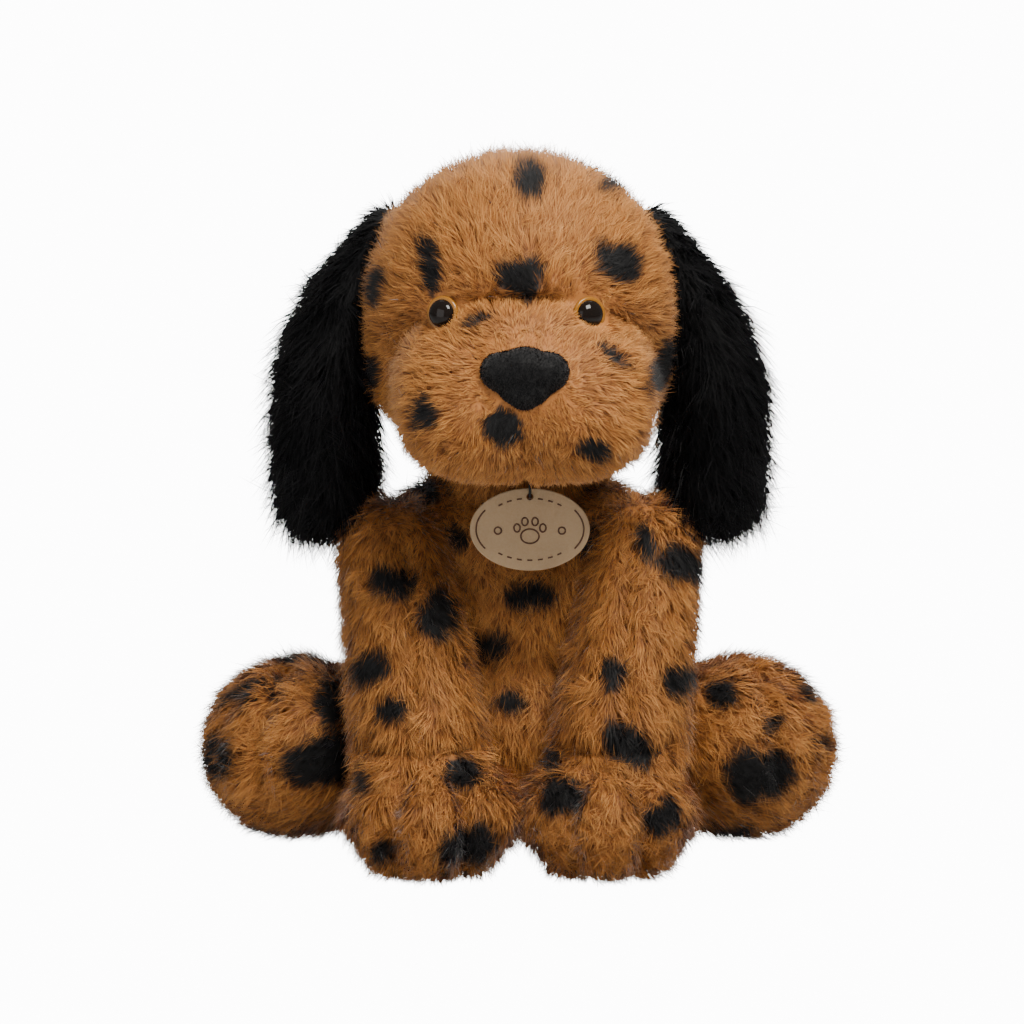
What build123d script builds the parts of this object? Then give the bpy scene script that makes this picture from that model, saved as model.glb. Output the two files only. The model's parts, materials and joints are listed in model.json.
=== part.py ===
from build123d import *
from math import asin, cos, radians, sin, sqrt
import os

# Seated plush dog: sewn pile covers over fillings, with plastic eyes, a velvet nose and
# a hanging tag. Millimetres, +Z up, the dog faces -Y and sits on Z = 0, with the origin
# on the floor under the middle of the toy. Left and right are the dog's own: left is +X.
# Every soft form is a function of an inset, so that a cover is the form less the same
# form one cloth further in, and its filling is the form a little further in again.

os.makedirs("parts", exist_ok=True)

# Cloth and clearances
cloth = 2.0  # backing and the dense root of the pile
filling_inset = cloth + 0.3  # a filling stays clear of its own cover
joint_gap = 0.5  # between two bodies that move
fore_thread_slopes, hind_thread_slopes = (-4, 58), (8, 52)
thread_radius = 0.5
sides = {"right": -1, "left": 1}

# Torso: a pear turned about a vertical axis
torso_y = 12
seat_radius = 38
hip_radius, hip_z = 54, 36
seat_round, seat_rise = 0.72, 0.3  # how far out and up the seat's curve bulges
chest_radius, chest_z = 48, 88
collar_radius, collar_z = 36.5, 134
bag_width, bag_depth, bag_bottom, bag_top = 28, 56, 4.5, 27
bag_corner, bag_cloth = 9, 1.0

# Neck and head
neck_centre = Vector(0, torso_y, 140)
neck_radius = 34
head_centre = Vector(0, -8, 203)
head_radius = 57
gusset_half_width = 16
muzzle_centre = Vector(2, -51, 180)
muzzle_radius = 30
muzzle_half_width = 45
chin_seam_z = 168

# Eyes: iris disc, dome, ribbed stem and lock washer
eye_x = {"right": -28, "left": 25.5}
eye_rise = 11
iris_radius, iris_thick = 6, 1.2
dome_radius, dome_height = 5.2, 3.2
stem_radius, stem_length = 1.8, 13
rib_radius, rib_pitch, rib_count = 2.1, 1.6, 4
washer_radius, washer_thick, washer_depth = 6.5, 1.2, 2.7
hole_clearance = 0.1

# Nose
nose_origin = Vector(2, -74.5, 196)
nose_tilt = 25
nose_width, nose_height, nose_proud = 33, 26, 10.5
nose_corner, nose_round, nose_cloth = 8, 5, 1.0

# Ears: two plies hung from a rolled root
ear_root = Vector(51, 6, 237)
ear_root_radius = 6
ear_middle_x, ear_middle_z = 75, 190
ear_tip_x, ear_tip_z = 80, 129
ear_outer_ply, ear_lining_ply = 8, 4
ear_top_radius, ear_flap_radius = 15, 26

# Forelegs
shoulder = Vector(46, -16, 110)
shoulder_radius = 24
wrist = Vector(36, -50, 34)
wrist_radius = 23
fore_paw = Vector(33, -57, 0)
fore_paw_radius, fore_paw_height, fore_paw_round = 31, 43, 20
sleeve_seam_z = 50

# Hind legs
hip = Vector(46, 20, 34)
hip_ball_radius = 26
ankle = Vector(80, -4, 33)
ankle_radius = 27
hind_paw = Vector(83, -6, 32)
hind_paw_radius = 33
thigh_seam_x = 66
hindleg_room_at_ankle = 9
foreleg_half_swing = 22
foreleg_room_at_shoulder, foreleg_room_at_wrist = 0.2, 7.5

# Toes
toe_spread = 22

# Tail
tail_root = Vector(0, 58, 38)
tail_tip = Vector(0, 79, 50)
tail_root_radius, tail_tip_radius = 12, 9
tail_room_at_tip = 12

# Tag on the chest
tag_width, tag_height, tag_face, tag_back = 45, 31, 1.0, 0.8
tag_centre = Vector(4, -38.5, 126.5)
tag_tilt = 13
tag_hole_radius, tag_hole_inset = 1.3, 3.3
tag_ring_radius = 3.0


def mirrored(point, side):
    return Vector(point.X * side, point.Y, point.Z)


def save(builder, name):
    builder.part.label = name
    export_step(builder.part, f"parts/{name}.step")


def limb(start, end, start_radius, end_radius):
    """A tapered roll with a ball at each end, turned about the line between them."""
    along = (end - start).normalized()
    across = along.cross(Vector(0, 0, 1) if abs(along.Z) < 0.9 else Vector(0, 1, 0))
    length = (end - start).length
    slope = sqrt(0.5)
    with BuildPart() as form:
        with BuildSketch(Plane(origin=start, x_dir=along, z_dir=across)):
            with BuildLine():
                Line((-start_radius, 0), (length + end_radius, 0))
                ThreePointArc(
                    (length + end_radius, 0),
                    (length + end_radius * slope, end_radius * slope),
                    (length, end_radius),
                )
                Line((length, end_radius), (0, start_radius))
                ThreePointArc(
                    (0, start_radius),
                    (-start_radius * slope, start_radius * slope),
                    (-start_radius, 0),
                )
            make_face()
        revolve(axis=Axis(start, along))
    return form.part


def ball(centre, radius):
    with BuildPart() as form:
        with Locations(centre):
            Sphere(radius)
    return form.part


# Forms, each at a given inset


def foreleg_form(side, inset):
    with BuildPart() as form:
        with Locations(mirrored(fore_paw, side) + Vector(0, 0, inset)):
            Cylinder(
                fore_paw_radius - inset,
                fore_paw_height - 2 * inset,
                align=(Align.CENTER, Align.CENTER, Align.MIN),
            )
        fillet(form.edges().filter_by(GeomType.CIRCLE).sort_by(Axis.Z)[-1], fore_paw_round - inset)
        fillet(form.edges().filter_by(GeomType.CIRCLE).sort_by(Axis.Z)[0], fore_paw_round / 2 - inset)
        add(
            limb(
                mirrored(shoulder, side),
                mirrored(wrist, side),
                shoulder_radius - inset,
                wrist_radius - inset,
            )
        )
    return form.part


def hindleg_form(side, inset):
    with BuildPart() as form:
        add(
            limb(
                mirrored(hip, side),
                mirrored(ankle, side),
                hip_ball_radius - inset,
                ankle_radius - inset,
            )
        )
        with Locations(mirrored(hind_paw, side)):
            Sphere(hind_paw_radius - inset)
        split(bisect_by=Plane.XY.offset(inset))
    return form.part


def tail_form(inset):
    return limb(tail_root, tail_tip, tail_root_radius - inset, tail_tip_radius - inset)


def hindleg_room(side, inset):
    """The hind leg, wider at the ankle by the way that it swings."""
    return limb(
        mirrored(hip, side),
        mirrored(ankle, side),
        hip_ball_radius - inset,
        ankle_radius + hindleg_room_at_ankle - inset,
    )


def foreleg_room(side, inset):
    """The foreleg half way up its swing, wider at the wrist by the rest of it."""
    hanging = mirrored(wrist, side) - mirrored(shoulder, side)
    return limb(
        mirrored(shoulder, side),
        mirrored(shoulder, side) + hanging.rotate(Axis.X, -foreleg_half_swing),
        shoulder_radius + foreleg_room_at_shoulder - inset,
        wrist_radius + foreleg_room_at_wrist - inset,
    )


def tail_room(inset):
    return limb(
        tail_root, tail_tip, tail_root_radius - inset, tail_tip_radius + tail_room_at_tip - inset
    )


def bag_form(inset):
    with BuildPart() as form:
        with BuildSketch(Plane.XY.offset(bag_bottom + inset)):
            with Locations((0, torso_y)):
                RectangleRounded(bag_width - 2 * inset, bag_depth - 2 * inset, bag_corner - inset)
        extrude(amount=bag_top - bag_bottom - 2 * inset)
    return form.part


def torso_form(inset):
    low, high = inset, collar_z - inset
    seat, hips, chest, collar = (
        radius - inset for radius in (seat_radius, hip_radius, chest_radius, collar_radius)
    )
    with BuildPart() as form:
        with BuildSketch(Plane(origin=(0, torso_y, 0), x_dir=(0, -1, 0), z_dir=(-1, 0, 0))):
            with BuildLine():
                Line((0, low), (seat, low))
                ThreePointArc(
                    (seat, low), (seat + seat_round * (hips - seat), seat_rise * hip_z), (hips, hip_z)
                )
                ThreePointArc((hips, hip_z), (chest, chest_z), (collar, high))
                Line((collar, high), (0, high))
                Line((0, high), (0, low))
            make_face()
        revolve(axis=Axis((0, torso_y, 0), (0, 0, 1)))
    return form.part


def torso_solid(inset):
    """The pear, dented by everything that moves against it."""
    clear = -joint_gap - inset
    with BuildPart() as form:
        add(torso_form(inset))
        neighbours = [ball(neck_centre, neck_radius - clear), tail_room(clear)]
        for side in sides.values():
            neighbours += [
                foreleg_form(side, clear),
                foreleg_room(side, clear),
                hindleg_room(side, clear),
            ]
        add(neighbours, mode=Mode.SUBTRACT)
    return form.part


def muzzle_form(inset):
    reach = Vector(muzzle_half_width - muzzle_radius, 0, 0)
    return limb(
        muzzle_centre - reach, muzzle_centre + reach, muzzle_radius - inset, muzzle_radius - inset
    )


def ear_ply(side, inner, outer):
    """A curved ply between two distances from the ear's middle surface."""
    width = 2 * ear_flap_radius
    root = (side * ear_root.X, ear_root.Z)
    with BuildPart() as form:
        with BuildSketch(Plane.XZ.offset(-ear_root.Y)):
            with BuildLine():
                near = ThreePointArc(
                    (side * (ear_root.X + inner), ear_root.Z),
                    (side * (ear_middle_x + inner), ear_middle_z),
                    (side * (ear_tip_x + inner), ear_tip_z),
                )
                far = ThreePointArc(
                    (side * (ear_root.X + outer), ear_root.Z),
                    (side * (ear_middle_x + outer), ear_middle_z),
                    (side * (ear_tip_x + outer), ear_tip_z),
                )
                Line(near @ 0, far @ 0)
                Line(near @ 1, far @ 1)
            make_face()
        extrude(amount=width / 2, both=True)
        with BuildSketch(Plane.YZ):
            with Locations((ear_root.Y, ear_root.Z - ear_root_radius)):
                Circle(ear_top_radius)
            with Locations((ear_root.Y, ear_tip_z + ear_flap_radius)):
                Circle(ear_flap_radius)
            make_hull()
        extrude(amount=side * (ear_tip_x + 2 * outer + width), mode=Mode.INTERSECT)
    return form.part


def ear_root_roll(side, radius):
    with BuildPart() as form:
        with BuildSketch(Plane.XZ.offset(-ear_root.Y)):
            with Locations((side * ear_root.X, ear_root.Z)):
                Circle(radius)
        extrude(amount=ear_top_radius, both=True)
    return form.part


def head_solid(inset):
    """The head ball with its neck socket and the grooves of the ear roots."""
    with BuildPart() as form:
        add(ball(head_centre, head_radius - inset))
        add(ball(neck_centre, neck_radius + joint_gap + inset), mode=Mode.SUBTRACT)
        for side in sides.values():
            add(
                ear_root_roll(side, ear_root_radius + joint_gap + inset), mode=Mode.SUBTRACT
            )
    return form.part


def eye_plane(name):
    across = eye_x[name] / head_radius
    up = eye_rise / head_radius
    normal = Vector(across, -sqrt(1 - across**2 - up**2), up)
    return Plane(origin=head_centre + normal * head_radius, x_dir=(1, 0, 0), z_dir=normal)


def eye_hole(name, radius, depth):
    with BuildPart() as form:
        with BuildSketch(eye_plane(name)):
            Circle(radius + hole_clearance)
        extrude(amount=-(depth + hole_clearance))
    return form.part


def nose_form(inset):
    """A blunt triangle, point down, rounded over at the front and seated on the muzzle."""
    tilt = radians(nose_tilt)
    face = Plane(origin=nose_origin, x_dir=(1, 0, 0), z_dir=(0, -cos(tilt), sin(tilt)))
    half, top = nose_width / 2 - nose_corner, nose_height / 2 - nose_corner
    with BuildPart() as form:
        with BuildSketch(face.offset(-nose_proud)):
            with Locations((-half, top), (half, top), (0, nose_corner - nose_height / 2)):
                Circle(nose_corner - inset)
            make_hull()
        extrude(amount=2 * nose_proud - inset)
        fillet(form.faces().sort_by(Axis(nose_origin, face.z_dir))[-1].edges(), nose_round - inset)
        add(muzzle_form(-hole_clearance - inset), mode=Mode.SUBTRACT)
        add(ball(head_centre, head_radius + inset), mode=Mode.SUBTRACT)
    return form.part


# Torso covers: one belly panel, two back panels joined down the spine

with BuildPart() as torso_cover:
    add(torso_solid(0))
    add(torso_solid(cloth), mode=Mode.SUBTRACT)

side_seam = Plane.XZ.offset(-torso_y)
with BuildPart() as belly_panel:
    add(torso_cover.part)
    split(bisect_by=side_seam)
save(belly_panel, "belly_panel")

with BuildPart() as back_left_panel:
    add(torso_cover.part)
    split(bisect_by=side_seam, keep=Keep.BOTTOM)
    split(bisect_by=Plane.YZ)
save(back_left_panel, "back_left_panel")

with BuildPart() as back_right_panel:
    mirror(back_left_panel.part, about=Plane.YZ)
save(back_right_panel, "back_right_panel")

with BuildPart() as torso_stuffing:
    add(torso_solid(filling_inset))
    add(bag_form(-hole_clearance), mode=Mode.SUBTRACT)
save(torso_stuffing, "torso_stuffing")

with BuildPart() as seat_bag:
    add(bag_form(0))
    add(bag_form(bag_cloth), mode=Mode.SUBTRACT)
save(seat_bag, "seat_bag")

with BuildPart() as seat_pellets:
    add(bag_form(bag_cloth + hole_clearance))
save(seat_pellets, "seat_pellets")

# Neck: a stuffed ball that the collar and the head turn on

with BuildPart() as neck_cover:
    add(ball(neck_centre, neck_radius))
    add(ball(neck_centre, neck_radius - cloth), mode=Mode.SUBTRACT)
save(neck_cover, "neck_cover")

with BuildPart() as neck_stuffing:
    add(ball(neck_centre, neck_radius - filling_inset))
save(neck_stuffing, "neck_stuffing")

# Head covers

with BuildPart() as head_cover:
    add(head_solid(0))
    add(head_solid(cloth), mode=Mode.SUBTRACT)
    add(muzzle_form(0), mode=Mode.SUBTRACT)
    for name in sides:
        add(eye_hole(name, rib_radius, stem_length), mode=Mode.SUBTRACT)

gusset_seam = Plane.YZ.offset(gusset_half_width)
gusset_seam_right = Plane.YZ.offset(-gusset_half_width)
with BuildPart() as forehead_gusset:
    add(head_cover.part)
    split(bisect_by=gusset_seam, keep=Keep.BOTTOM)
    split(bisect_by=gusset_seam_right, keep=Keep.TOP)
save(forehead_gusset, "forehead_gusset")

with BuildPart() as head_left_panel:
    add(head_cover.part)
    split(bisect_by=gusset_seam, keep=Keep.TOP)
save(head_left_panel, "head_left_panel")

with BuildPart() as head_right_panel:
    add(head_cover.part)
    split(bisect_by=gusset_seam_right, keep=Keep.BOTTOM)
save(head_right_panel, "head_right_panel")

with BuildPart() as muzzle_skin:
    add(muzzle_form(0))
    add(muzzle_form(cloth), mode=Mode.SUBTRACT)
    add(ball(head_centre, head_radius), mode=Mode.SUBTRACT)

chin_seam = Plane.XY.offset(chin_seam_z)
with BuildPart() as muzzle_cover:
    add(muzzle_skin.part)
    split(bisect_by=chin_seam, keep=Keep.TOP)
save(muzzle_cover, "muzzle_cover")

with BuildPart() as chin_panel:
    add(muzzle_skin.part)
    split(bisect_by=chin_seam, keep=Keep.BOTTOM)
save(chin_panel, "chin_panel")

with BuildPart() as head_stuffing:
    add(head_solid(filling_inset))
    for name in sides:
        add(eye_hole(name, rib_radius, stem_length), mode=Mode.SUBTRACT)
        add(eye_hole(name, washer_radius, washer_depth + washer_thick), mode=Mode.SUBTRACT)
save(head_stuffing, "head_stuffing")

with BuildPart() as muzzle_stuffing:
    add(muzzle_form(filling_inset))
    add(ball(head_centre, head_radius - cloth), mode=Mode.SUBTRACT)
save(muzzle_stuffing, "muzzle_stuffing")

# Nose

with BuildPart() as nose_cover:
    add(nose_form(0))
    add(nose_form(nose_cloth), mode=Mode.SUBTRACT)
save(nose_cover, "nose_cover")

with BuildPart() as nose_stuffing:
    add(nose_form(nose_cloth + hole_clearance))
save(nose_stuffing, "nose_stuffing")

# Eyes

for name in sides:
    surface = eye_plane(name)
    with BuildPart() as iris:
        with BuildSketch(surface):
            Circle(iris_radius)
        extrude(amount=iris_thick)
        chamfer(iris.edges().group_by(SortBy.LENGTH)[-1], iris_thick / 4)
    save(iris, f"{name}_eye_iris")

    base = surface.offset(iris_thick)
    cap_radius = (dome_radius**2 + dome_height**2) / (2 * dome_height)
    shoulder_x = cap_radius * sin(asin(dome_radius / cap_radius) / 2)
    shoulder_y = dome_height - cap_radius + sqrt(cap_radius**2 - shoulder_x**2)
    with BuildPart() as dome:
        with BuildSketch(Plane(base.origin, base.x_dir, base.x_dir.cross(base.z_dir))):
            with BuildLine():
                Line((0, 0), (dome_radius, 0))
                ThreePointArc((dome_radius, 0), (shoulder_x, shoulder_y), (0, dome_height))
                Line((0, dome_height), (0, 0))
            make_face()
        revolve(axis=Axis(base.origin, base.z_dir))
    save(dome, f"{name}_eye_dome")

    with BuildPart() as stem:
        with BuildSketch(surface):
            Circle(stem_radius)
        extrude(amount=-stem_length)
        for rib in range(rib_count):
            depth = washer_depth + washer_thick + rib_pitch * (rib + 0.5)
            with BuildSketch(surface.offset(-depth)):
                Circle(rib_radius)
            extrude(amount=-rib_pitch / 2)
    save(stem, f"{name}_eye_stem")

    with BuildPart() as washer:
        with BuildSketch(surface.offset(-washer_depth)):
            Circle(washer_radius)
            Circle(stem_radius, mode=Mode.SUBTRACT)
        extrude(amount=-washer_thick)
    save(washer, f"{name}_eye_washer")

# Ears

for name, side in sides.items():
    with BuildPart() as ear_outer:
        add(ear_ply(side, 0, ear_outer_ply))
        add(ear_root_roll(side, ear_root_radius + hole_clearance), mode=Mode.SUBTRACT)
    save(ear_outer, f"{name}_ear_outer")

    with BuildPart() as ear_lining:
        add(ear_ply(side, -ear_lining_ply, -hole_clearance))
        add(ear_root_roll(side, ear_root_radius + hole_clearance), mode=Mode.SUBTRACT)
    save(ear_lining, f"{name}_ear_lining")

    with BuildPart() as ear_seam:
        add(ear_root_roll(side, ear_root_radius))
    save(ear_seam, f"{name}_ear_root")

# Forelegs


def toe_thread(plane_origin, heading, core_radius, round_radius, low, high):
    """A sewing thread that lies over the round of a paw, between two slopes."""
    reach = round_radius + thread_radius + hole_clearance
    out = Vector(sin(radians(heading)), -cos(radians(heading)), 0)
    middle = plane_origin + out * core_radius
    section = Plane(origin=middle, x_dir=out, z_dir=out.cross(Vector(0, 0, 1)))
    start, centre, end = (
        (reach * cos(radians(a)), reach * sin(radians(a))) for a in (low, (low + high) / 2, high)
    )
    with BuildPart() as form:
        with BuildLine(section) as path:
            ThreePointArc(start, centre, end)
        with BuildSketch(Plane(origin=path.line @ 0, z_dir=path.line % 0)):
            Circle(thread_radius)
        sweep(path=path.line)
    return form.part


for name, side in sides.items():
    with BuildPart() as foreleg_cover:
        add(foreleg_form(side, 0))
        add(foreleg_form(side, cloth), mode=Mode.SUBTRACT)

    with BuildPart() as sleeve:
        add(foreleg_cover.part)
        split(bisect_by=Plane.XY.offset(sleeve_seam_z), keep=Keep.TOP)
    save(sleeve, f"{name}_foreleg_sleeve")

    with BuildPart() as paw_cover:
        add(foreleg_cover.part)
        split(bisect_by=Plane.XY.offset(sleeve_seam_z), keep=Keep.BOTTOM)
    save(paw_cover, f"{name}_fore_paw_cover")

    with BuildPart() as foreleg_stuffing:
        add(foreleg_form(side, filling_inset))
    save(foreleg_stuffing, f"{name}_foreleg_stuffing")

    round_centre = mirrored(fore_paw, side) + Vector(0, 0, fore_paw_height - fore_paw_round)
    with BuildPart() as toe_threads:
        for heading in (-toe_spread, toe_spread):
            add(
                toe_thread(
                    round_centre,
                    heading,
                    fore_paw_radius - fore_paw_round,
                    fore_paw_round,
                    *fore_thread_slopes,
                )
            )
    save(toe_threads, f"{name}_fore_toe_threads")

# Hind legs

for name, side in sides.items():
    with BuildPart() as hindleg_cover:
        add(hindleg_form(side, 0))
        add(hindleg_form(side, cloth), mode=Mode.SUBTRACT)

    seam = Plane.YZ.offset(side * thigh_seam_x)
    inward, outward = (Keep.BOTTOM, Keep.TOP) if side > 0 else (Keep.TOP, Keep.BOTTOM)
    with BuildPart() as thigh_cover:
        add(hindleg_cover.part)
        split(bisect_by=seam, keep=inward)
    save(thigh_cover, f"{name}_thigh_cover")

    with BuildPart() as hind_paw_cover:
        add(hindleg_cover.part)
        split(bisect_by=seam, keep=outward)
    save(hind_paw_cover, f"{name}_hind_paw_cover")

    with BuildPart() as hindleg_stuffing:
        add(hindleg_form(side, filling_inset))
    save(hindleg_stuffing, f"{name}_hindleg_stuffing")

    with BuildPart() as hind_toe_threads:
        for heading in (20 * side, 62 * side):
            add(
                toe_thread(mirrored(hind_paw, side), heading, 0, hind_paw_radius, *hind_thread_slopes)
            )
    save(hind_toe_threads, f"{name}_hind_toe_threads")

# Tail

with BuildPart() as tail_cover:
    add(tail_form(0))
    add(tail_form(cloth), mode=Mode.SUBTRACT)
save(tail_cover, "tail_cover")

with BuildPart() as tail_stuffing:
    add(tail_form(filling_inset))
save(tail_stuffing, "tail_stuffing")

# Tag: a leather face on a felt back, hung on a thread loop from the collar

tilt = radians(tag_tilt)
tag_plane = Plane(origin=tag_centre, x_dir=(1, 0, 0), z_dir=(0, -cos(tilt), sin(tilt)))
tag_hole = (0, tag_height / 2 - tag_hole_inset)
for name, start, thick in (("tag_face", 0, tag_face), ("tag_backing", -tag_back, tag_back)):
    with BuildPart() as tag_layer:
        with BuildSketch(tag_plane.offset(start)):
            Ellipse(tag_width / 2, tag_height / 2)
            with Locations(tag_hole):
                Circle(tag_hole_radius, mode=Mode.SUBTRACT)
        extrude(amount=thick)
    save(tag_layer, name)

ring_centre = tag_plane.from_local_coords(Vector(0, tag_hole[1] + tag_ring_radius, 0.1))
with BuildPart() as tag_thread:
    with BuildSketch(Plane(origin=ring_centre - Vector(0, 0, tag_ring_radius), z_dir=(0, 1, 0))):
        Circle(thread_radius)
    revolve(axis=Axis(ring_centre, (1, 0, 0)))
    collar_stitch = Vector(ring_centre.X, torso_y - collar_radius, collar_z)
    stitch_start = ring_centre + Vector(0, tag_ring_radius, 0)
    with BuildSketch(Plane(origin=stitch_start, z_dir=collar_stitch - stitch_start)):
        Circle(thread_radius)
    extrude(amount=(collar_stitch - stitch_start).length)
save(tag_thread, "tag_thread")
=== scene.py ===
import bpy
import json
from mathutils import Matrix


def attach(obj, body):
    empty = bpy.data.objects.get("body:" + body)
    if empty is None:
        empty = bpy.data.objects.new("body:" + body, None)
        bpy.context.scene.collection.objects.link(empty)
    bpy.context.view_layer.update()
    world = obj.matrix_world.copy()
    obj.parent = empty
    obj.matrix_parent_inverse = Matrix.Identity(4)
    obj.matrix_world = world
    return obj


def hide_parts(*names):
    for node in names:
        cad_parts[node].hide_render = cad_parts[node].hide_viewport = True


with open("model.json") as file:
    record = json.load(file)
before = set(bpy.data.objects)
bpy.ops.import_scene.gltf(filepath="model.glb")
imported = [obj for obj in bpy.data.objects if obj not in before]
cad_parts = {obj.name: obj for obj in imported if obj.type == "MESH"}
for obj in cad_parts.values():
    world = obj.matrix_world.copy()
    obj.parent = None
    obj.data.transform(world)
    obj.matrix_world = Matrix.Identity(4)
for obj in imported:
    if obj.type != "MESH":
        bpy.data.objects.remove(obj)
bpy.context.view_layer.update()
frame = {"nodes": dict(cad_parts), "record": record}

import json
import math

import bmesh
import bpy
import numpy as np
from bpy.props import FloatProperty, FloatVectorProperty, IntProperty, PointerProperty
from mathutils import Matrix, Vector

bl_info = {
    "name": "Plush Dog",
    "version": (1, 0, 0),
    "blender": (4, 5, 0),
    "location": "View3D > Sidebar > Plush Dog",
    "description": "Sews, stuffs and finishes a seated plush dog around its packed frame",
    "category": "Object",
}

MM = 0.001
SIDES = {"right": -1, "left": 1}  # the dog's own sides: left is +X

# Joint centres and forms, in millimetres, as the frame has them
NECK = (0, 12, 140)
HEAD, HEAD_RADIUS = (0, -8, 203), 57
MUZZLE = (2, -51, 180)
EYES = {"right": -28, "left": 25.5}
EYE_RISE, EYE_DROP = 11, -1.2
NOSE, NOSE_TILT = (2, -79.5, 192), 22
TAG, TAG_TILT = (4, -38.5, 126.5), 13
FORE_PAW = (33, -57, 22)
HIND_PAW = (83, -6, 32)

# How high a point looks from the front, seen from 13 degrees above the floor
LOOK_UP = (0.225, 0.974)

# How tufts of pile stand and differ: depth and lowest height in millimetres, the rest shares
CLUMPS = ((0.38, 16, 0), (0.5, 5.5, 1))  # pull, wavelength in millimetres, step of the seed
STRAY, LIFT_SPREAD, TURN_SPREAD = 0.22, 0.25, 0.35
BEND_ALONG, BEND_SPREAD, DROOP = 0.45, 0.16, (0, 0, -0.12)
RAGGED_CAP, RAGGED_SCALE = 2, 0.6
WIDTH_RANGE, KNEE_WIDTH, KNEE = (0.7, 1.3), 0.72, 0.52
ROOT_DEPTH, LOWEST_PILE = 0.35, 0.15
TONE_SHAPE, TONE_PATCHES, TONE_WAVELENGTH, TONE_MOST = (2.0, 2.2), 0.22, 9, 1.4
SPOT_FRAY, TUFT_ROUNDING = 0.7, 0.40

# Waves that make up a ripple
WAVES, WAVE_RANGE, WAVE_SCALE = 7, (0.7, 1.5), 2.6

# Edges of the spots: ripples as share, wavelength and seed, then the edge's place and softness
SPOT_EDGES = ((0.16, 13, 5), (0.10, 5, 9))
SPOT_REACH, SPOT_SOFTNESS, NO_SPOT = 1.06, 0.16, 9.0
FRONT_FACING, BACK_FACING = 0.2, 0.25
HIDDEN_RADII, HIDDEN_STRETCH, MOST_HIDDEN = (6.5, 11.5), (1.25, 1.0, 0.85), 25

# The cloth simulation that plumps a skin
PRESSURE, CLOTH_QUALITY, CLOTH_STRETCH, CLOTH_BENDING, CLOTH_FRAMES = 4.0, 4, 12.0, 0.6, 14

# The studio, in metres and watts: name, place, power, size and colour of each lamp
LAMPS = (
    ("key", (0.34, -0.62, 1.2), 27, 0.55, (1, 0.96, 0.90)),
    ("fill", (-0.9, -1.0, 0.40), 4.5, 1.0, (1, 0.97, 0.95)),
    ("rim", (0.0, 0.8, 1.0), 12, 0.9, (1, 0.99, 0.97)),
)
LAMP_AIM, CAMERA_AIM, SENSOR_WIDTH = (0, 0, 0.12), (-0.0027, 0, 0.1243), 36
BACKDROP_GLOW, FLOOR_WHITENESS = 14.0, 0.93

# Spots that show from the front: across, how high they look, half width, half height, tilt
FRONT_SPOTS = {
    "head": (
        (4, 245.5, 7, 9, 0), (36, 245.5, 6, 4, 20), (-34, 213.5, 4.8, 11.5, 12), (1, 207.5, 9.5, 8.2, 0),
        (37, 214.5, 10, 8, -28), (-54.5, 205.5, 4.5, 7.8, -10), (-56.5, 173.5, 4.3, 7.2, 8),
        (-36, 157.5, 5, 8.4, 5), (-6, 151.5, 8.2, 6.8, 0), (27, 143.5, 7.2, 4.6, -12),
        (54, 174.5, 5.2, 12, -28), (36, 178.5, 8, 2.6, -42), (-15, 192.5, 7, 2, 22),
    ),
    "torso": (
        (5, 89, 10.5, 6.2, 5), (-11, 70, 7, 6.5, 0), (-3, 49, 8, 4, 0), (-49, 131, 8, 7, 0),
        (-37, 129, 7, 6, 0), (44, 138, 5, 8, 0), (-24, 112, 4, 7, 30), (26, 110, 3.5, 8, -20),
    ),
    "right_foreleg": (
        (-47, 95, 9.5, 6.8, -10), (-30, 82, 8, 9.8, 20), (-56, 62, 10, 6.5, 28),
        (-48, 47, 6.5, 6, 10), (-21, 23, 6.5, 7, 15), (-19, -3, 13, 8, 8), (-51, -6, 6, 5, 30),
        (-59, 21, 4, 6, 0),
    ),
    "left_foreleg": (
        (62, 101, 12, 7.5, -28), (48, 110, 4.5, 8, 10), (73, 76, 4.5, 7, 0), (35, 60, 5.5, 7.2, -20),
        (61, 57, 9, 6.5, -15), (41, 34, 12.5, 7.5, -35), (12, 29, 5, 4.5, 0), (16, 15, 9.2, 8, 0),
        (53, 7, 7.2, 7.2, -20),
    ),
    "right_hindleg": (
        (-75, 27, 14.5, 11.5, 15), (-115, 28, 7, 9.5, 0), (-71, 49, 6.5, 9.5, 15),
        (-108, 51, 6, 2.6, 10), (-75, 69, 7, 4, 10), (-88, 66, 6, 2.6, 0), (-100, -2, 9, 3, -10),
    ),
    "left_hindleg": (
        (91, 21, 15, 12, 8), (77, 52, 6.2, 6, 0), (96, 41, 5.5, 3, 45), (110, 52, 4, 4, 0),
        (82, -1, 9, 3, 10),
    ),
    "tail": (),
    "neck": ((-34, 128, 9, 6, 0), (30, 126, 7, 6, 20)),
}


# ---------------------------------------------------------------- settings


class PileSettings(bpy.types.PropertyGroup):
    """Pile of the cloths."""

    body_length: FloatProperty(name="Body pile", description="Length of the tan pile", default=0.0095,
                               min=0.002, unit="LENGTH")
    ear_length: FloatProperty(name="Ear pile", description="Length of the black ear pile",
                              default=0.0165, min=0.002, unit="LENGTH")
    nap_length: FloatProperty(name="Nose nap", description="Length of the velvet nap",
                              default=0.0010, min=0.0002, unit="LENGTH")
    strand_width: FloatProperty(name="Strand width", description="Width of a tuft of pile at its root",
                                default=0.00033, min=0.0001, unit="LENGTH")
    density: FloatProperty(name="Density", description="Tufts on a square millimetre", default=2.3,
                           min=0.05)


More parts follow.
